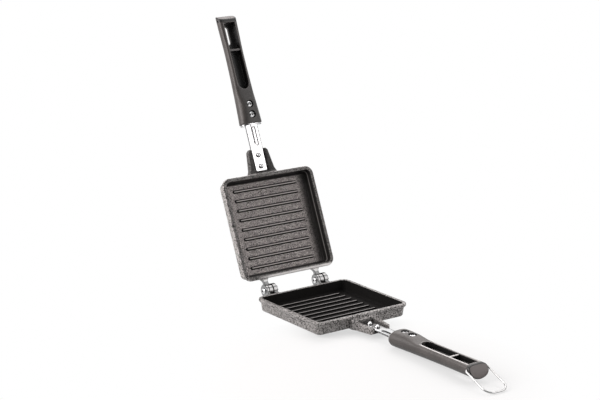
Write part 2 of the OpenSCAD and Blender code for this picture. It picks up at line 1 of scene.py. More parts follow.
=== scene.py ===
import json
import math

import bmesh
import bpy
from mathutils import Matrix, Vector


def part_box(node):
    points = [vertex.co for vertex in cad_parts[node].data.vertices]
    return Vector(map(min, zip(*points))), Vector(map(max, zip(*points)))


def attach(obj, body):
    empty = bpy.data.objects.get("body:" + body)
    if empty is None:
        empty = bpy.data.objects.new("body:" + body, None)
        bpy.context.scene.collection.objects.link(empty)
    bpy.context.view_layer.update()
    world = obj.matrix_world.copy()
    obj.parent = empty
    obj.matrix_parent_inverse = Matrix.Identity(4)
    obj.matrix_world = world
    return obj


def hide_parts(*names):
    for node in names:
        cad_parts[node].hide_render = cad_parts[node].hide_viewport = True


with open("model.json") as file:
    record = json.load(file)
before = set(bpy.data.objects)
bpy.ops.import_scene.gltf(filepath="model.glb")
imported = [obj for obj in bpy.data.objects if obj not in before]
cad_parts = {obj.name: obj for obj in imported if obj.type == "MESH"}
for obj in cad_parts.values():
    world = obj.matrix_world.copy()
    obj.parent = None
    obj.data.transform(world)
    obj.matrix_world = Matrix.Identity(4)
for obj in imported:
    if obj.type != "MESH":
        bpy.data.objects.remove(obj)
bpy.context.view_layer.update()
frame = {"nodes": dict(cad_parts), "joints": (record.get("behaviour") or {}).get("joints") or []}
nodes = frame["nodes"]
print("frame loaded,", len(nodes), "nodes")

camera = {
    "place": (-1.227029, -1.672123, 0.671525),
    "right": (0.8160872, -0.5778829, -0.0072798),
    "up": (0.1477940, 0.1965043, 0.9693003),
    "lens": 104.78,
    "filmWidth": 36,
}


def setCamera(values):
    data = bpy.data.cameras.new("camera")
    data.sensor_width, data.lens = values["filmWidth"], values["lens"]
    made = bpy.data.objects.new("camera", data)
    right, up = Vector(values["right"]), Vector(values["up"])
    turned = Matrix((right, up, right.cross(up))).transposed().to_4x4()
    made.matrix_world = Matrix.Translation(values["place"]) @ turned
    bpy.context.scene.collection.objects.link(made)
    bpy.context.scene.camera = made


setCamera(camera)
print("camera set")

# The lid's parts are the base's parts turned over and swung open about the hinge.
hinge = next(joint for joint in frame["joints"] if joint["name"] == "lid_hinge")
hingePlace = Vector(hinge["pos_m"])
lidTurn = -math.radians(hinge["range_deg"][1])
turnedOver = Matrix.Translation((0, 0, 2 * hingePlace.z)) @ Matrix.Scale(-1, 4, (0, 0, 1))
toHinge = Matrix.Translation(hingePlace)
swung = toHinge @ Matrix.Rotation(lidTurn, 4, "X") @ toHinge.inverted()
halves = {"base": Matrix.Identity(4), "lid": swung @ turnedOver}

stripSetBack = 4.4  # mm from the pan's front rim to the near end of the strip
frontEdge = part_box("base_strip")[1].y * 1000 + stripSetBack  # the front rim, in mm


# Mesh helpers. They work in millimetres, and a piece turns to metres when it is placed.
def newObject(name, mesh):
    made = bpy.data.objects.new(name, mesh)
    bpy.context.scene.collection.objects.link(made)
    return made


def outwards(mesh):
    work = bmesh.new()
    work.from_mesh(mesh)
    bmesh.ops.recalc_face_normals(work, faces=work.faces)
    work.to_mesh(mesh)
    work.free()


def loft(name, rings):
    count, last = len(rings[0]), len(rings) - 1
    faces = []
    for r in range(last):
        for i in range(count):
            low, high, after = r * count, (r + 1) * count, (i + 1) % count
            faces.append((low + i, low + after, high + after, high + i))
    faces.append(tuple(reversed(range(count))))
    faces.append(tuple(range(last * count, (last + 1) * count)))
    mesh = bpy.data.meshes.new(name)
    mesh.from_pydata([point for ring in rings for point in ring], [], faces)
    outwards(mesh)
    return newObject(name, mesh)


def lathe(name, profile, place, axis, steps=40):
    along = Vector(axis).normalized()
    side = along.orthogonal().normalized()
    other = along.cross(side)
    turns = [2 * math.pi * i / steps for i in range(steps)]
    rings = []
    for radius, height in profile:
        centre = Vector(place) + along * height
        rings.append([centre + (side * math.cos(a) + other * math.sin(a)) * radius for a in turns])
    return loft(name, rings)


def plate(name, outline, low, high):
    return loft(name, [[(x, y, level) for x, y in outline] for level in (low, high)])


def rectangle(halfWidth, near, far):
    return [(-halfWidth, near), (-halfWidth, far), (halfWidth, far), (halfWidth, near)]


def cutAway(body, cutters):
    for cutter in cutters:
        step = body.modifiers.new("cut", "BOOLEAN")
        step.operation, step.solver, step.object = "DIFFERENCE", "EXACT", cutter
    bpy.context.view_layer.update()
    seen = body.evaluated_get(bpy.context.evaluated_depsgraph_get())
    result = bpy.data.meshes.new_from_object(seen)
    body.modifiers.clear()
    body.data = result
    for cutter in cutters:
        bpy.data.objects.remove(cutter)
    return body


def joinUp(name, parts):
    work = bmesh.new()
    for part in parts:
        work.from_mesh(part.data)
        bpy.data.objects.remove(part)
    mesh = bpy.data.meshes.new(name)
    work.to_mesh(mesh)
    work.free()
    return newObject(name, mesh)


def softShade(piece, sharpAngle=34):
    for face in piece.data.polygons:
        face.use_smooth = True
    piece.data.set_sharp_from_angle(angle=math.radians(sharpAngle))


def place(piece, half, slotName, material, stoodFor):
    turn = halves[half] @ Matrix.Scale(0.001, 4)
    piece.data.transform(turn)
    if turn.determinant() < 0:
        piece.data.flip_normals()
    softShade(piece)
    piece.data.materials.clear()
    piece.data.materials.append(material)
    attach(piece, half)
    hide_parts(stoodFor)


# Material helpers. Sizes, distances and reaches are in millimetres here too.
def addNode(tree, kind, inputs=None, **settings):
    made = tree.nodes.new(kind)
    for key, value in settings.items():
        setattr(made, key, value)
    for key, value in (inputs or {}).items():
        if isinstance(value, bpy.types.NodeSocket):
            tree.links.new(value, made.inputs[key])
        else:
            made.inputs[key].default_value = value
    return made


def reckon(tree, operation, first, second=0.0, clamp=False):
    inputs = {0: first, 1: second}
    return addNode(tree, "ShaderNodeMath", inputs, operation=operation, use_clamp=clamp).outputs[0]


def product(tree, first, *others):
    for other in others:
        first = reckon(tree, "MULTIPLY", first, other)
    return first


def apart(tree, value, middle):
    return reckon(tree, "ABSOLUTE", reckon(tree, "SUBTRACT", value, middle))


def beyond(tree, value, limit):
    past = reckon(tree, "SUBTRACT", apart(tree, value, 0), limit)
    return reckon(tree, "MAXIMUM", past, 0)


def hypotenuse(tree, first, second):
    squares = (product(tree, side, side) for side in (first, second))
    return reckon(tree, "SQRT", reckon(tree, "ADD", *squares))


def spread(tree, value, low, high, newLow=0.0, newHigh=1.0):
    inputs = {0: value, 1: low, 2: high, 3: newLow, 4: newHigh}
    return addNode(tree, "ShaderNodeMapRange", inputs).outputs[0]


def blendValues(tree, amount, first, second):
    inputs = {0: amount, 2: first, 3: second}
    return addNode(tree, "ShaderNodeMix", inputs, data_type="FLOAT").outputs[0]


def blendColours(tree, amount, first, second):
    inputs = {0: amount, 6: first, 7: second}
    return addNode(tree, "ShaderNodeMix", inputs, data_type="RGBA").outputs[2]


# One colour with others laid over it in turn, each by its own amount.
def layered(tree, colour, *layers):
    for amount, over in layers:
        colour = blendColours(tree, amount, colour, over)
    return colour


def newMaterial(name):
    material = bpy.data.materials.new(name)
    material.use_nodes = True
    tree = material.node_tree
    shader = next(found for found in tree.nodes if found.type == "BSDF_PRINCIPLED")
    where = addNode(tree, "ShaderNodeTexCoord").outputs["Object"]
    return material, tree, shader, where


def dress(name, material):
    nodes[name].data.materials.clear()
    nodes[name].data.materials.append(material)


def grain(tree, where, size, detail=2.0, roughness=0.55):
    inputs = {"Vector": where, "Scale": 1000 / size, "Detail": detail, "Roughness": roughness}
    return addNode(tree, "ShaderNodeTexNoise", inputs).outputs["Fac"]


def roundedNormal(tree, radius):
    return addNode(tree, "ShaderNodeBevel", {"Radius": radius / 1000}, samples=6).outputs[0]


def dotProduct(tree, first, second):
    inputs = {0: first, 1: second}
    return addNode(tree, "ShaderNodeVectorMath", inputs, operation="DOT_PRODUCT").outputs["Value"]


# 0 on open surfaces and 1 along edges and in corners, within a reach.
def alongEdges(tree, reach, low, high):
    flat = addNode(tree, "ShaderNodeNewGeometry").outputs["Normal"]
    same = dotProduct(tree, roundedNormal(tree, reach), flat)
    return spread(tree, reckon(tree, "SUBTRACT", 1.0, same), low, high)


def bump(tree, height, depth, strength, normal):
    inputs = {"Height": height, "Distance": depth / 1000, "Strength": strength, "Normal": normal}
    return addNode(tree, "ShaderNodeBump", inputs).outputs[0]


# Rounded edges and a fine grain in a surface.
def roughen(tree, shader, fine, values):
    rounded = roundedNormal(tree, values["edgeRadius"])
    normal = bump(tree, fine, values["grainDepth"], values["grainStrength"], rounded)
    tree.links.new(normal, shader.inputs["Normal"])


# The same place on the closed iron: as a vector in metres for the grain, then across,
# along and up from the outer face of its own pan in mm.
def unfolded(tree, where, half):
    spot = where
    if half == "lid":
        back = {"Rotation": (-lidTurn, 0, 0), "Location": swung.inverted().translation}
        spot = addNode(tree, "ShaderNodeMapping", {"Vector": where, **back}).outputs[0]
    split = addNode(tree, "ShaderNodeSeparateXYZ", {0: spot}).outputs
    x, y, level = (product(tree, split[i], 1000) for i in range(3))
    if half == "lid":
        level = reckon(tree, "SUBTRACT", 2000 * hingePlace.z, level)
    return spot, x, y, level


# How far a face looks in a direction on the closed iron, with +Z out of its own pan.
def facing(tree, half, direction):
    normal = addNode(tree, "ShaderNodeTexCoord").outputs["Normal"]
    if half == "lid":
        back = {"Vector": normal, "Rotation": (-lidTurn, 0, 0)}
        turned = addNode(tree, "ShaderNodeMapping", back, vector_type="VECTOR").outputs[0]
        mirror = {0: turned, 1: (1, 1, -1)}
        normal = addNode(tree, "ShaderNodeVectorMath", mirror, operation="MULTIPLY").outputs[0]
    return dotProduct(tree, normal, direction)


# Pairs of lengths are the places in mm between which a shade fades in.
casting = {
    "halfWidth": 70.0,  # rim, from the middle of the pan
    "halfLength": 66.75,
    "cornerRadius": 11.0,
    "coatInset": (4.7, 7.0),  # from the rim's outside to the black coat, high up and low down
    "coatLevels": (11.0, 2.5),  # the levels of those two
    "coatBlur": 0.15,
    "coatFloor": 1.5,  # the coat covers what lies above this level
    "hingeFrom": (67.35, 68.95),  # the bare hinge parts begin
    "darkGrey": (0.018, 0.0168, 0.0162, 1),
    # the light specks of the grey paint; the lid's lighter value is painted light
    "lightGreyAndLidLight": {"base": (0.47, 0.45, 0.44, 1), "lid": (0.58, 0.555, 0.54, 1)},
    "greyRoughness": (0.5, 0.28),  # of the dark and the light
    "greyMetal": 0.25,
    "dimpleSize": 0.85,
    "dimpleContrast": (0.32, 0.58),
    "cloudShare": 0.3,  # how much of the dimples is soft noise
    "cloudSize": 0.6,  # its size beside the dimples'
    "blotchSize": 6.0,
    "blotchContrast": (0.3, 0.75),
    "blotchShade": 0.06,
    "flatFacing": (0.8, 0.95),
    "rimShade": {"base": 0.0, "lid": 0.7},  # painted shade: how much darker the faces that meet the other half are
    "lipPaintedLight": {"base": 0.0, "lid": 0.85},  # painted light: how much lighter the lip along the hinge side is, where it faces the bright floor
    "lipFrom": (62.8, 64.5),
    "lipSides": (-50.0, -30.0),
    "lipLightColour": (0.72, 0.7, 0.69, 1),
    "lugShade": {"base": 0.0, "lid": 0.75},  # painted shade: how much darker the lug is than the pan
    "lugFrom": (-64.5, -69.5),
    "lugHalfWidth": (22.5, 20.5),
    "recessShade": 0.75,  # painted shade inside the lug
    "recessHalfWidth": (12.0, 10.5),
    "recessFrom": (-67.5, -68.5),
    "bareMetal": (0.30, 0.30, 0.30, 1),
    "bareRoughness": 0.22,
    "bareMetallic": 0.95,
    # painted shade along the edges and in the corners of the bare metal
    "bareEdgeShade": (0.008, 0.008, 0.008, 1),
    "bareEdgeReach": 1.2,
    "bareEdgeBand": (0.002, 0.04),  # how bent a surface is where the painted edge shade begins and is full
    "hingeMiddle": 39.6,  # from the middle of the pan
    "tongueHalfWidth": 3.1,
    "tongueRadius": (8.4, 7.8),
    "hingeGap": (0.9, 0.5),  # half width of the painted shade line there
    "coat": (0.0035, 0.0032, 0.003, 1),
    # specks in the coat; the lid's lighter ones are painted light
    "coatSpeck": {"base": (0.008, 0.0075, 0.007, 1), "lid": (0.03, 0.028, 0.027, 1)},
    "crestHighlight": {"base": (0.36, 0.345, 0.34, 1), "lid": (0.16, 0.15, 0.146, 1)},  # painted highlight along the rib crests
    "coatRoughness": {"base": (0.9, 0.7), "lid": (0.55, 0.3)},
    "coatShine": {"base": 0.1, "lid": 0.15},
    "speckSize": 0.75,
    "speckContrast": (0.38, 0.66),
    "roughContrast": (0.35, 0.65),
    "flakes": {"base": 0.0, "lid": 0.9},  # painted sheen: how metallic the specks in the flat of the coat are, on the lid only
    "flake": (0.36, 0.33, 0.32, 1),
    "flakesEnd": (62.5, 51.5),  # painted shade: they fade out beside the right wall
    "ribPitch": 12.5,
    "ribCount": 9,
    "ribHalfLength": 47.5,  # to the centre of a rib's round end
    "ribNone": 50.0,  # the distance given where there are no ribs
    "crestReach": (0.75, 0.45),
    "crestPolish": 0.3,
    "footFrom": (0.6, 1.0),
    "footReach": {"base": (2.6, 1.7), "lid": (2.55, 1.75)},
    # painted shade at the feet of the ribs
    "footShade": (0.002, 0.002, 0.002, 1),
    "footRoughness": 0.5,
    "stepLevel": {"base": 1000.0, "lid": 10.8},  # of the painted highlight line on the right wall, lid only
    "stepReach": (0.9, 0.4),
    "stepFrom": (55.0, 60.0),
    "stepHighlight": (0.24, 0.228, 0.222, 1),
    "edgeRadius": 0.7,
    "hingeHeight": 0.5,  # heights for the bump, beside the dimples' 0 to 1
    "coatHeights": (0.3, 0.7),
    "bumpDepth": 0.55,
    "bumpStrength": 0.8,
}


# Where the black coat lies, and where the bare hinge parts stand behind the pan.
def coatMask(tree, x, y, level, values):
    corner = values["cornerRadius"]
    pastSide = beyond(tree, x, values["halfWidth"] - corner)
    pastEnd = beyond(tree, y, values["halfLength"] - corner)
    inset = spread(tree, level, *values["coatLevels"], *values["coatInset"])
    depth = reckon(tree, "SUBTRACT", corner, hypotenuse(tree, pastSide, pastEnd))
    depth = reckon(tree, "SUBTRACT", depth, inset)
    within = spread(tree, depth, -values["coatBlur"], values["coatBlur"])
    above = reckon(tree, "GREATER_THAN", level, values["coatFloor"])
    return product(tree, within, above), spread(tree, y, *values["hingeFrom"])


# Painted shade: 1 along the gaps between the lid's tongues and the forks of the base.
def hingeGap(tree, x, y, level, values):
    fromMiddle = apart(tree, apart(tree, x, 0), values["hingeMiddle"])
    fromGap = apart(tree, fromMiddle, values["tongueHalfWidth"])
    back = reckon(tree, "SUBTRACT", y, 1000 * hingePlace.y)
    up = reckon(tree, "SUBTRACT", level, 1000 * hingePlace.z)
    near = spread(tree, hypotenuse(tree, back, up), *values["tongueRadius"])
    return product(tree, spread(tree, fromGap, *values["hingeGap"]), near)


# Distance from the middle line of the nearest rib, and far away beyond the outer ribs.
def ribDistance(tree, x, y, values):
    pitch = values["ribPitch"]
    wrap = {0: y, 1: pitch / 2, 2: -pitch / 2}
    across = addNode(tree, "ShaderNodeMath", wrap, operation="WRAP").outputs[0]
    away = hypotenuse(tree, across, beyond(tree, x, values["ribHalfLength"]))
    outside = reckon(tree, "GREATER_THAN", apart(tree, y, 0), pitch * values["ribCount"] / 2)
    return reckon(tree, "ADD", away, product(tree, outside, values["ribNone"]))


def castDimples(tree, spot, values):
    inputs = {"Vector": spot, "Scale": 1000 / values["dimpleSize"], "Randomness": 1.0}
    cells = addNode(tree, "ShaderNodeTexVoronoi", inputs)
    shade = addNode(tree, "ShaderNodeSeparateColor", {0: cells.outputs["Color"]}).outputs[0]
    clouds = grain(tree, spot, values["dimpleSize"] * values["cloudSize"], 1.0, 0.5)
    return blendValues(tree, values["cloudShare"], shade, clouds)


def castingMaterial(name, values, half):
    material, tree, shader, where = newMaterial(name)
    spot, x, y, level = unfolded(tree, where, half)
    coated, hingeMetal = coatMask(tree, x, y, level, values)
    flat = spread(tree, facing(tree, half, (0, 0, 1)), *values["flatFacing"])
    across = apart(tree, x, 0)
    dimples = castDimples(tree, spot, values)
    spots = spread(tree, dimples, *values["dimpleContrast"])
    fine = grain(tree, spot, values["speckSize"], 2.0, 0.6)

    # the grey outside, with bare metal at the hinge; painted shade on the hinge's edges and gaps,
    # on the lid's rim and lug and in the lug's recess, and painted light on the lid's lip
    blotches = grain(tree, spot, values["blotchSize"], 2.0)
    blotches = spread(tree, blotches, *values["blotchContrast"], 0.0, values["blotchShade"])
    lip = spread(tree, y, *values["lipFrom"], 0.0, values["lipPaintedLight"][half])
    lug = spread(tree, y, *values["lugFrom"], 0.0, values["lugShade"][half])
    recess = spread(tree, across, *values["recessHalfWidth"], 0.0, values["recessShade"])
    bareEdges = alongEdges(tree, values["bareEdgeReach"], *values["bareEdgeBand"])
    bare = layered(
        tree,
        values["bareMetal"],
        (bareEdges, values["bareEdgeShade"]),
        (hingeGap(tree, x, y, level, values), values["bareEdgeShade"]),
    )
    dark = values["darkGrey"]
    grey = layered(
        tree,
        dark,
        (spots, values["lightGreyAndLidLight"][half]),
        (blotches, dark),
        (product(tree, flat, values["rimShade"][half]), dark),
        (product(tree, lip, spread(tree, x, *values["lipSides"])), values["lipLightColour"]),
        (hingeMetal, bare),
        (product(tree, lug, spread(tree, across, *values["lugHalfWidth"])), dark),
        (product(tree, recess, spread(tree, y, *values["recessFrom"])), dark),
    )

    # the black coat inside, with a painted highlight along the ribs and painted shade at their
    # feet; on the lid, lighter specks, metallic specks for a painted sheen and a painted highlight
    # line on the right wall
    fromRib = ribDistance(tree, x, y, values)
    crest = spread(tree, fromRib, *values["crestReach"])
    foot = spread(tree, fromRib, *values["footReach"][half])
    foot = product(tree, spread(tree, fromRib, *values["footFrom"]), foot)
    specks = spread(tree, fine, *values["speckContrast"])
    flakes = product(tree, specks, flat, values["flakes"][half])
    flakes = product(tree, flakes, spread(tree, x, *values["flakesEnd"]))
    step = spread(tree, apart(tree, level, values["stepLevel"][half]), *values["stepReach"])
    coat = layered(
        tree,
        values["coat"],
        (specks, values["coatSpeck"][half]),
        (flakes, values["flake"]),
        (foot, values["footShade"]),
        (crest, values["crestHighlight"][half]),
        (product(tree, step, spread(tree, x, *values["stepFrom"])), values["stepHighlight"]),
    )
    tree.links.new(blendColours(tree, coated, grey, coat), shader.inputs["Base Color"])

    shiny = reckon(tree, "MAXIMUM", flakes, product(tree, crest, values["flakes"][half]))
    shiny = product(tree, shiny, reckon(tree, "SUBTRACT", 1.0, foot))
    outer = blendValues(tree, hingeMetal, values["greyMetal"], values["bareMetallic"])
    tree.links.new(blendValues(tree, coated, outer, shiny), shader.inputs["Metallic"])
    shader.inputs["Specular IOR Level"].default_value = values["coatShine"][half]

    outer = blendValues(tree, spots, *values["greyRoughness"])
    outer = blendValues(tree, hingeMetal, outer, values["bareRoughness"])
    inner = spread(tree, fine, *values["roughContrast"], *values["coatRoughness"][half])
    rougher = product(tree, foot, values["footRoughness"])
    inner = reckon(tree, "ADD", inner, rougher, clamp=True)
    inner = reckon(tree, "SUBTRACT", inner, product(tree, crest, values["crestPolish"]))
    tree.links.new(blendValues(tree, coated, outer, inner), shader.inputs["Roughness"])

    outer = blendValues(tree, hingeMetal, dimples, values["hingeHeight"])
    inner = blendValues(tree, fine, *values["coatHeights"])
    height = blendValues(tree, coated, outer, inner)
    rounded = roundedNormal(tree, values["edgeRadius"])
    normal = bump(tree, height, values["bumpDepth"], values["bumpStrength"], rounded)
    tree.links.new(normal, shader.inputs["Normal"])
    return material


for half in halves:
    dress(half + "_pan", castingMaterial("hammered " + half + " casting", casting, half))
print("castings finished")

plating = {
    "colour": (0.86, 0.86, 0.87, 1),
    "worn": (0.66, 0.66, 0.67, 1),
    "wearSize": 9.0,
    "wearContrast": (0.4, 0.75),
    "roughContrast": (0.35, 0.75),
    "smoothRoughness": 0.12,
    "wornRoughness": 0.26,
    # painted shade: a dark line along the edges and in the corners
    "edge": (0.006, 0.006, 0.006, 1),
    "edgeReach": 1.6,
    "edgeBand": (0.001, 0.03),
    "edgeRoughness": 0.7,
    "edgeRadius": 0.35,
    "grainSize": 0.6,
    "grainDepth": 0.02,
    "grainStrength": 0.15,
}
wire = {
    **plating,
    "colour": (0.5, 0.5, 0.5, 1),
    "worn": (0.36, 0.36, 0.36, 1),
    "smoothRoughness": 0.18,
    "edgeReach": 0.5,
}
strip = {
    **plating,
    "edgeReach": 2.24,
    "groove": ((-2.6, -1.2), (-0.1, -0.3), (-104.5, -108.5)),  # painted shade on the groove's far wall: across, far side, start
}
rivets = {
    **plating,
    "darkFrom": (-0.45, 0, 0.893),  # the side of the domes given a painted dark reflection
    "domeShade": {"base": (0.8, 0.1), "lid": (0.97, 0.6)},
}


def platingMaterial(name, values, half=None):
    material, tree, shader, where = newMaterial(name)
    wear = grain(tree, where, values["wearSize"], 3.0)
    edges = alongEdges(tree, values["edgeReach"], *values["edgeBand"])
    worn = spread(tree, wear, *values["wearContrast"])
    layers = [(worn, values["worn"]), (edges, values["edge"])]
    if "groove" in values:
        x, y = unfolded(tree, where, half)[1:3]
        fades = zip((x, x, y), values["groove"])
        groove = product(tree, *(spread(tree, value, *fade) for value, fade in fades))
        layers.append((groove, values["edge"]))
    if "domeShade" in values:
        turned = facing(tree, half, values["darkFrom"])
        layers.append((spread(tree, turned, *values["domeShade"][half]), values["edge"]))
    colour = layered(tree, values["colour"], *layers)
    tree.links.new(colour, shader.inputs["Base Color"])
    shader.inputs["Metallic"].default_value = 1.0
    smooth, rough = values["smoothRoughness"], values["wornRoughness"]
    rough = spread(tree, wear, *values["roughContrast"], smooth, rough)
    rough = blendValues(tree, edges, rough, values["edgeRoughness"])
    tree.links.new(rough, shader.inputs["Roughness"])
    roughen(tree, shader, grain(tree, where, values["grainSize"]), values)
    return material


bright = platingMaterial("nickel plating", plating)
for half in halves:
    for part in ("ferrule", "handle_nuts", "handle_screws"):
        dress(half + "_" + part, bright)
    for part, values in (("strip", strip), ("rivets", rivets)):
        finish = platingMaterial(half + " " + part + " plating", values, half)
        dress(half + "_" + part, finish)
for side in ("left", "right"):
    for part in ("bolt", "washer", "nut"):
        dress("hinge_" + part + "_" + side, bright)
dress("bail", platingMaterial("bail wire", wire))
print("metal parts finished")

handle = {
    "start": 67.0,  # out from the pan's front rim
    "length": 140.0,
    "middle": 5.2,  # level of the centre line
    "halfWidths": (15.9, 12.5, 13.8),  # pan end, waist, far end
    "waist": 0.66,  # share of the length
    "domeTop": 15.6,
    "domeDrop": 0.8,  # at the pan end
    "fallLead": 1.0,  # the top begins to fall this far before the second screw
    "flatTop": 12.0,
    "backs": (-6.2, -4.4),  # levels of the underside, pan end and far end
    "squareness": (2.4, 1.2),  # of the section's top, and how much more along the flat
    "squareLag": 6.0,  # past the pocket's start, where it is squarest
    "slant": 24.0,  # degrees, of the end face
    "bulge": 1.6,
    "endBlend": 30.0,
    "screws": (11.4, 25.2),  # from the handle's start
    "counterbore": (10.0, 3.0),  # width, depth
    "pocketStart": 46.0,
    "pocketEndWall": 4.4,
    "pocketWidth": 17.0,
    "tongueLength": 1.15,  # of the pocket's round end, beside half its width
    "backThickness": 3.0,
    "bridge": (99.0, 2.6, 2.3),  # place, thickness, drop below the flat
    "slot": (8.0, 25.0, 2.5),  # width, length, distance from the pocket's end
    "slotTop": 4.0,
    "tang": (18.1, 36.0, 4.35, 6.05),  # width, depth, bottom, top
    "nutSeat": -1.6,
    "nutWidth": 8.1,  # across its flats
    "screwHole": 5.1,
    "pivot": (1.2, 6.5, 2.42, 4.8),  # in from the end, level, bore, depth
    "ringPoints": 96,
    "ringSpacing": 2.5,
    "ringInset": 3.0,  # of the first and last whole rings from the ends
    "endRounding": 1.2,
}
farOff = 30.0  # a level beyond every cut
overlap = 1.0  # how far a short cutter stands out of what it cuts


def ease(t):
    c = max(0.0, min(1.0, t))
    return c * c * (3 - 2 * c)


def gripOutline(values, out, inset):
    start, end = values["start"], values["start"] + values["length"]
    near, middle, far = values["halfWidths"]
    waist = start + values["waist"] * values["length"]
    first, second = (start + screwOut for screwOut in values["screws"])
    pocket = start + values["pocketStart"]
    if out < waist:
        width = middle + (near - middle) * ((waist - out) / (waist - start)) ** 2
    else:
        width = middle + (far - middle) * ease((out - waist) / (end - waist))
    if out < first:
        top = values["domeTop"] - values["domeDrop"] * ((first - out) / (first - start)) ** 2
    else:
        fall = ease((out - second + values["fallLead"]) / (pocket - second))
        top = values["flatTop"] + (values["domeTop"] - values["flatTop"]) * (1 - fall)
    backNear, backFar = values["backs"]
    back = backNear + (backFar - backNear) * (out - start) / values["length"]
    domePower, flatMore = values["squareness"]
    squarest = pocket + values["squareLag"]
    square = 2 / (domePower + flatMore * ease((out - second) / (squarest - second)))
    level = values["middle"]
    points = []
    for i in range(values["ringPoints"]):
        a = 2 * math.pi * (i + 0.5) / values["ringPoints"]
        c, s = math.cos(a), math.sin(a)
        power = square if s > 0 else 1
        reach = (top - level if s > 0 else level - back) - inset
        x = (width - inset) * math.copysign(abs(c) ** power, c)
        points.append((x, level + reach * math.copysign(abs(s) ** power, s)))
    return points


# How far the slanted, bulging end face stands out at a level, from its top edge.
def endReach(values, level):
    lean, bulge = math.radians(values["slant"]), values["bulge"]
    chord = (values["flatTop"] - values["backs"][1]) / math.cos(lean)
    radius = chord * chord / (8 * bulge) + bulge / 2
    sink = radius - bulge
    centreOut = chord / 2 * math.sin(lean) - sink * math.cos(lean)
    centreLevel = values["flatTop"] - chord / 2 * math.cos(lean) - sink * math.sin(lean)
    return centreOut + math.sqrt(max(0.0, radius**2 - (level - centreLevel) ** 2))


def handleBody(name, values):
    start, end = values["start"], values["start"] + values["length"]
    rounding, blend = values["endRounding"], values["endBlend"]
    turns = [math.radians(a) for a in (0, 22.5, 45, 67.5, 90)]
    curve = [(rounding * (1 - math.sin(a)), rounding * (1 - math.cos(a))) for a in turns]
    stations = [(start + out, inset) for out, inset in reversed(curve)]
    out = start + values["ringInset"]
    while out < end - values["ringInset"]:
        stations.append((out, 0.0))
        out += values["ringSpacing"]
    stations += [(end - out, inset) for out, inset in curve]
    rings = []
    for out, inset in stations:
        follow = max(0.0, (out - end + blend) / blend)
        ring = gripOutline(values, min(max(out, start), end), inset)
        rings.append([(x, frontEdge - out - follow * endReach(values, z), z) for x, z in ring])
    return loft(name, rings)


# The round inside of the back, as the level of its axis and its radius.
def pocketTrough(values):
    radius = values["halfWidths"][1] - values["backThickness"]
    return values["backs"][1] + values["backThickness"] + radius, radius


def pocketCutter(values, first, last, tongue):
    half = values["pocketWidth"] / 2
    axis, radius = pocketTrough(values)
    spans = [(first, half), (last, half)]
    if tongue:
        roundLength = half * values["tongueLength"]
        turns = [math.radians(90 * i / 12) for i in range(13)]
        spans[:1] = [
            (first + roundLength * (1 - math.cos(a)), max(0.05, half * math.sin(a))) for a in turns
        ]
    steps = 12
    rings = []
    for out, width in spans:
        y = frontEdge - out
        across = [width * (2 * i / steps - 1) for i in range(steps + 1)]
        low = [(x, y, axis - math.sqrt(radius * radius - x * x)) for x in across]
        rings.append(low + [(x, y, farOff) for x in reversed(across)])
    return loft("cutter", rings)


def capsule(outFirst, outLast, width, low, high):
    outline = []
    for centre, sign in ((outLast - width / 2, -1), (outFirst + width / 2, 1)):
        for i in range(13):
            a, reach = math.pi * i / 12, sign * width / 2
            outline.append((reach * math.cos(a), frontEdge - centre + reach * math.sin(a)))
    return plate("cutter", outline, low, high)


def bore(width, at, low, high, axis=(0, 0, 1), steps=40):
    return lathe("cutter", [(width / 2, low), (width / 2, high)], at, axis, steps)


def makeHandle(name, values):
    body = handleBody(name, values)
    start, end = values["start"], values["start"] + values["length"]
    pocket, pocketEnd = start + values["pocketStart"], end - values["pocketEndWall"]
    bridgeAt, bridgeThick, bridgeDrop = values["bridge"]
    bridgeAt += start
    cutters = [
        pocketCutter(values, pocket, bridgeAt - bridgeThick / 2, True),
        pocketCutter(values, bridgeAt + bridgeThick / 2, pocketEnd, False),
    ]
    near, far = (frontEdge - bridgeAt + side * (bridgeThick / 2 + overlap) for side in (-1, 1))
    overBridge = rectangle(values["pocketWidth"] / 2, near, far)
    cutters.append(plate("cutter", overBridge, values["flatTop"] - bridgeDrop, farOff))
    width, length, inset = values["slot"]
    slotEnd = pocketEnd - inset
    cutters.append(capsule(slotEnd - length, slotEnd, width, -farOff, values["slotTop"]))
    tangWidth, tangDepth, tangLow, tangHigh = values["tang"]
    mouth = frontEdge - start
    tang = rectangle(tangWidth / 2, mouth + overlap, mouth - tangDepth)
    cutters.append(plate("cutter", tang, tangLow, tangHigh))
    boreWidth, boreDepth = values["counterbore"]
    nutCorners = values["nutWidth"] / math.cos(math.pi / 6)
    for out in values["screws"]:
        at = (0, mouth - out, 0)
        cutters.append(bore(boreWidth, at, values["domeTop"] - boreDepth, farOff))
        cutters.append(bore(values["screwHole"], at, -farOff, farOff))
        cutters.append(bore(nutCorners, at, -farOff, values["nutSeat"], steps=6))
    inFromEnd, level, pivotBore, depth = values["pivot"]
    for side in (-1, 1):
        bottom = side * (values["halfWidths"][2] - depth)
        at = (bottom, frontEdge - end + inFromEnd, level)
        cutters.append(bore(pivotBore, at, 0, farOff, (side, 0, 0), 24))
    return cutAway(body, cutters)


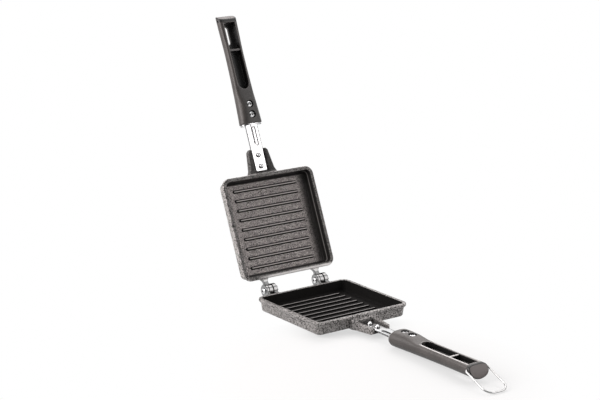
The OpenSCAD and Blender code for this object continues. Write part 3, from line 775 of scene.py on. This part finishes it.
moulding = {
    "colour": (0.052, 0.045, 0.042, 1),
    "mottle": (0.078, 0.068, 0.064, 1),
    "mottleSize": 14.0,
    "mottleContrast": (0.35, 0.7),
    "roughness": (0.36, 0.5),
    "edgeRadius": 0.8,
    "grainSize": 0.7,
    "grainContrast": (0.3, 0.7),
    "grainDepth": 0.05,
    "grainStrength": 0.25,
    "edgeHighlight": {"base": (0.62, 0.6, 0.59, 1), "lid": (0.2, 0.185, 0.18, 1)},  # painted highlight along the pocket's edges and on the bridge
    "highlightReach": 1.0,
    "highlightBand": (0.002, 0.03),
    "highlightTo": (10.3, 9.8),  # from the middle
    "highlightNear": (3.0, 2.0),  # past the pocket's start
    "highlightFar": (1.2, 0.4),  # past its end
    "bridgeHighlight": (1.6, 2.8),  # of the painted highlight on the bridge: half thickness, drop below the flat
    "underShade": 0.6,  # painted shade: how much darker the back is than the sides
    "underFacing": (0.1, 0.75),
    "topShade": {"base": 0.0, "lid": 0.6},  # painted shade: how much darker the side towards the other handle is
    "topFacing": (0.7, 0.95),
    "land": (8.3, 10.1),  # the part of the flat beside the pocket with a painted highlight, from the middle
    "landHighlight": {"base": (0.62, 0.6, 0.59, 1), "lid": (0.10, 0.092, 0.088, 1)},
    "landBlur": (0.2, 0.4),  # of its inner and its outer side
    "landFrom": (2.0, 8.0),  # in from the pocket's start
    "flatBand": (2.6, 1.8),  # below the flat
    # painted light: the end face is drawn lighter
    "endPaintedLight": (0.115, 0.098, 0.093, 1),
    "endFacing": (0.9, 0.96),
    "outline": (0.003, 0.0028, 0.0027, 1),  # painted shade round the end face
    "outlineFrom": (-270.5, -271.5),  # where the end face's edges begin
    "outlineReach": 1.6,
    "outlineBand": (0.001, 0.02),
    "outlineFacing": ((0.94, 0.88), (0.05, 0.2)),
    # painted shade in the pocket and the counterbores, also the colour of the painted shade on the
    # back and the top
    "pocketShade": (0.004, 0.0036, 0.0034, 1),
    "pocketGlow": {"base": 0.0, "lid": 0.35},  # painted light: how much of the colour shows in the pocket's left
    "glowSpan": (2.0, -4.0),
    "boreRadius": (5.5, 5.2),
}


def pocketSpan(shape):
    mouth = frontEdge - shape["start"]
    return mouth - shape["pocketStart"], mouth - shape["length"] + shape["pocketEndWall"]


# Masks that are 1 inside the pocket and the counterbores, on top of the bridge, and between
# the pocket's ends. The small lengths in them are their soft edges.
def pocketMasks(tree, x, y, level, values, shape):
    mouth = frontEdge - shape["start"]
    near, far = pocketSpan(shape)
    pastNear = spread(tree, y, near, near - 0.4)
    along = product(tree, pastNear, spread(tree, y, far - 0.2, far + 0.2))
    across = apart(tree, x, 0)
    axis, radius = pocketTrough(shape)
    below = reckon(tree, "MINIMUM", reckon(tree, "SUBTRACT", level, axis), 0)
    flat, side = shape["flatTop"], values["land"][0]
    inside = product(
        tree,
        along,
        spread(tree, hypotenuse(tree, x, below), radius + 0.6, radius),
        spread(tree, level, flat - 0.3, flat - 2.2),
        spread(tree, across, side + 0.4, side + 0.2),
    )
    for out in shape["screws"]:
        fromAxis = hypotenuse(tree, x, reckon(tree, "SUBTRACT", y, mouth - out))
        inBore = spread(tree, fromAxis, *values["boreRadius"])
        inside = reckon(tree, "MAXIMUM", inside, inBore)
    thick, drop = values["bridgeHighlight"]
    fromBridge = apart(tree, y, mouth - shape["bridge"][0])
    bridge = product(
        tree,
        spread(tree, fromBridge, thick + 0.2, thick),
        reckon(tree, "GREATER_THAN", level, flat - drop),
        spread(tree, across, side, side - 0.4),
    )
    return reckon(tree, "SUBTRACT", inside, bridge, clamp=True), bridge, along


def mouldingMaterial(name, values, shape, half):
    material, tree, shader, where = newMaterial(name)
    _, x, y, level = unfolded(tree, where, half)
    inside, bridge, along = pocketMasks(tree, x, y, level, values, shape)
    across = apart(tree, x, 0)
    near, far = pocketSpan(shape)
    atFlat = spread(tree, level, *(shape["flatTop"] - drop for drop in values["flatBand"]))

    edges = product(
        tree,
        alongEdges(tree, values["highlightReach"], *values["highlightBand"]),
        spread(tree, y, *(near + past for past in values["highlightNear"])),
        spread(tree, y, *(far - past for past in values["highlightFar"])),
        spread(tree, across, *values["highlightTo"]),
        atFlat,
    )
    inner, outer = values["land"]
    innerBlur, outerBlur = values["landBlur"]
    land = product(
        tree,
        spread(tree, across, inner, inner + innerBlur),
        spread(tree, across, outer, outer - outerBlur),
        atFlat,
        along,
        spread(tree, y, *(near - within for within in values["landFrom"])),
    )
    lean = math.radians(shape["slant"])
    towards = facing(tree, half, (0, -math.cos(lean), math.sin(lean)))
    outline = product(tree, *(spread(tree, towards, *fade) for fade in values["outlineFacing"]))
    sharp = alongEdges(tree, values["outlineReach"], *values["outlineBand"])
    outline = reckon(tree, "MAXIMUM", outline, sharp)
    ended = spread(tree, y, *values["outlineFrom"])
    under = facing(tree, half, (0, 0, -1))
    under = spread(tree, under, *values["underFacing"], 0.0, values["underShade"])
    top = facing(tree, half, (0, 0, 1))
    top = spread(tree, top, *values["topFacing"], 0.0, values["topShade"][half])
    shade = values["pocketShade"]
    glow = spread(tree, x, *values["glowSpan"], 0.0, values["pocketGlow"][half])
    cloud = grain(tree, where, values["mottleSize"], 3.0)
    colour = layered(
        tree,
        values["colour"],
        (spread(tree, cloud, *values["mottleContrast"]), values["mottle"]),
        (under, shade),
        (reckon(tree, "MAXIMUM", edges, bridge), values["edgeHighlight"][half]),
        (top, shade),
        (land, values["landHighlight"][half]),
        (spread(tree, towards, *values["endFacing"]), values["endPaintedLight"]),
        (product(tree, outline, ended), values["outline"]),
        (inside, blendColours(tree, glow, shade, values["colour"])),
    )
    tree.links.new(colour, shader.inputs["Base Color"])
    fine = grain(tree, where, values["grainSize"], 2.0, 0.6)
    rough = spread(tree, fine, *values["grainContrast"], *values["roughness"])
    tree.links.new(rough, shader.inputs["Roughness"])
    roughen(tree, shader, fine, values)
    return material


for half in halves:
    piece = makeHandle(half + "HandleMoulding", handle)
    finish = mouldingMaterial("satin moulding of the " + half, moulding, handle, half)
    place(piece, half, "moulding", finish, half + "_handle")
print("handles made")

screw = {
    "shank": 2.5,
    "end": -5.2,
    "chamfer": 0.5,
    "seat": 12.6,  # level of the head's underside
    "head": (4.2, 1.08, 2.4),  # radius, height of its side, full height
    "headEdge": 0.15,
    "domeRings": (1, 0.9, 0.75, 0.55, 0.3, 0.06),  # shares of the radius
    "recess": (2.3, 0.62, 1.3),  # reach and half width of its arms, depth
    "armTaper": (0.7, 1.1),  # of the arms at the bottom and at the mouth
}


def makeScrews(name, values):
    radius, side, full = values["head"]
    shank, end, seat = values["shank"], values["end"], values["seat"]
    chamfer, edge = values["chamfer"], values["headEdge"]
    ball = (radius**2 + (full - side) ** 2) / (2 * (full - side))
    profile = [(shank - chamfer, end), (shank, end + chamfer), (shank, seat)]
    profile += [(radius - edge, seat), (radius, seat + edge)]
    for share in values["domeRings"]:
        r = radius * share
        profile.append((r, seat + full - ball + math.sqrt(ball**2 - r**2)))
    reach, width, depth = values["recess"]
    levels = (seat + full - depth, seat + full + overlap)
    made = []
    for out in handle["screws"]:
        y = frontEdge - handle["start"] - out
        body = lathe("screw", profile, (0, y, 0), (0, 0, 1))
        arms = []
        for x, halfArm in ((reach, width), (width, reach)):
            rings = []
            for taper, level in zip(values["armTaper"], levels):
                outline = rectangle(x * taper, y - halfArm * taper, y + halfArm * taper)
                rings.append([(*corner, level) for corner in outline])
            arms.append(loft("cutter", rings))
        made.append(cutAway(body, arms))
    return joinUp(name, made)


bolt = {
    "headRadius": 3.8,
    "headHeight": 2.6,
    "headCurve": ((0.55, 0.2), (0.8, 0.62), (0.95, 1.1), (1.0, 1.5)),  # share of the radius, depth
    "shank": 2.5,
    "chamfer": 0.5,
    "mark": (1.2, 0.9),  # radius and depth of the dimple in the middle of the head
}


def makeBolt(name, values, node):
    corners = [[1000 * c for c in corner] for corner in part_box(node)]
    (low, back, bottom), (high, front, top) = corners
    radius, height, shank = values["headRadius"], values["headHeight"], values["shank"]
    mark, depth = values["mark"]
    length, chamfer = high - low, values["chamfer"]
    profile = [(mark * 0.6, depth), (mark, 0.02)]
    profile += [(radius * share, inwards) for share, inwards in values["headCurve"]]
    profile += [(radius, height), (shank, height)]
    profile += [(shank, length - chamfer), (shank - chamfer, length)]
    return lathe(name, profile, (low, (back + front) / 2, (bottom + top) / 2), (1, 0, 0))


for half in halves:
    piece = makeScrews(half + "HandleScrews", screw)
    place(piece, half, "bright_steel", bright, half + "_handle_screws")
for side in ("left", "right"):
    node = "hinge_bolt_" + side
    place(makeBolt("hingeBolt" + side.title(), bolt, node), "base", "bright_steel", bright, node)
print("screws and bolts made")

# The iron rests on the rear edge of its pan and on the pan end of its handle, so the floor
# leans a little.
room = {
    "restLow": (-134.8, -6.25),  # along and up, in mm
    "restHigh": (60.5, -0.05),
    "size": 14.0,
    "floorGrey": 0.32,
    "floorBounce": 0.16,  # the grey that lights the iron from below
    "shadowLift": 0.58,
    "whiteCentre": (-0.09, -0.2, 0.0),
    "whiteFrom": (0.15, 0.21),  # metres from there over which the floor turns plain white
    "worldDiffuse": 0.45,
    "darkSide": (-0.563, -0.767, 0.308),  # the unlit end of the room, as metal sees it
    "darkEdge": (0.7, 0.9),
    "darkLevel": 0.06,
}
white, black = (1, 1, 1, 1), (0, 0, 0, 1)


def seenRays(tree):
    rays = addNode(tree, "ShaderNodeLightPath").outputs
    mirrored = reckon(tree, "MAXIMUM", rays["Is Glossy Ray"], rays["Is Transmission Ray"])
    return rays["Is Camera Ray"], mirrored


def makeFloor(values):
    (y0, z0), (y1, z1) = values["restLow"], values["restHigh"]
    slope = (z1 - z0) / (y1 - y0)
    half = values["size"] / 2
    outline = rectangle(half, half, -half)
    corners = [(x, y, (z0 + slope * (1000 * y - y0)) / 1000) for x, y in outline]
    mesh = bpy.data.meshes.new("floor")
    mesh.from_pydata(corners, [], [(0, 1, 2, 3)])
    made = newObject("floor", mesh)
    material, tree, shader, where = newMaterial("pale floor")
    tree.nodes.remove(shader)
    inputs = {0: where, 1: values["whiteCentre"]}
    away = addNode(tree, "ShaderNodeVectorMath", inputs, operation="DISTANCE").outputs["Value"]
    far = spread(tree, away, *values["whiteFrom"])
    seen = reckon(tree, "MAXIMUM", *seenRays(tree))
    levels = (values["floorBounce"], values["floorGrey"])
    shade = blendColours(tree, seen, *((level, level, level, 1) for level in levels))
    shade = blendColours(tree, product(tree, seen, far), shade, black)
    paint = addNode(tree, "ShaderNodeBsdfDiffuse", {"Color": shade})
    glow = product(tree, seen, blendValues(tree, far, values["shadowLift"], 1.0))
    light = addNode(tree, "ShaderNodeEmission", {"Color": white, "Strength": glow})
    both = addNode(tree, "ShaderNodeAddShader", {0: paint.outputs[0], 1: light.outputs[0]})
    output = next(found for found in tree.nodes if found.type == "OUTPUT_MATERIAL")
    tree.links.new(both.outputs[0], output.inputs["Surface"])
    mesh.materials.append(material)


def makeWorld(values):
    world = bpy.data.worlds.new("studio")
    world.use_nodes = True
    bpy.context.scene.world = world
    tree = world.node_tree
    light = next(found for found in tree.nodes if found.type == "BACKGROUND")
    heading = addNode(tree, "ShaderNodeTexCoord").outputs["Generated"]
    towards = dotProduct(tree, heading, values["darkSide"])
    inMirror = spread(tree, towards, *values["darkEdge"], 1.0, values["darkLevel"])
    direct, mirrored = seenRays(tree)
    strength = blendValues(tree, mirrored, values["worldDiffuse"], inMirror)
    strength = blendValues(tree, direct, strength, 1.0)
    light.inputs["Color"].default_value = white
    tree.links.new(strength, light.inputs["Strength"])


# Place, target, width and watts of each square softbox.
lamps = {
    "overhead softbox": ((0.7, 0.75, 1.5), (0, -0.05, 0.05), 1.7, 19),
    "front softbox": ((0.75, -1.0, 0.5), (0, 0.05, 0.08), 1.1, 5.5),
    "left softbox": ((-1.7, 0.4, 0.95), (0, -0.05, 0.1), 1.6, 42),
}
lampColour = (1.0, 0.955, 0.945)


def softbox(name, place, target, width, watts):
    data = bpy.data.lights.new(name, "AREA")
    data.shape, data.size, data.energy, data.color = "SQUARE", width, watts, lampColour
    made = bpy.data.objects.new(name, data)
    made.location = place
    made.rotation_mode = "QUATERNION"
    made.rotation_quaternion = (Vector(target) - Vector(place)).to_track_quat("-Z", "Y")
    bpy.context.scene.collection.objects.link(made)


makeFloor(room)
makeWorld(room)
for name, values in lamps.items():
    softbox(name, *values)
bpy.context.scene.view_settings.view_transform = "Standard"
print("studio set")
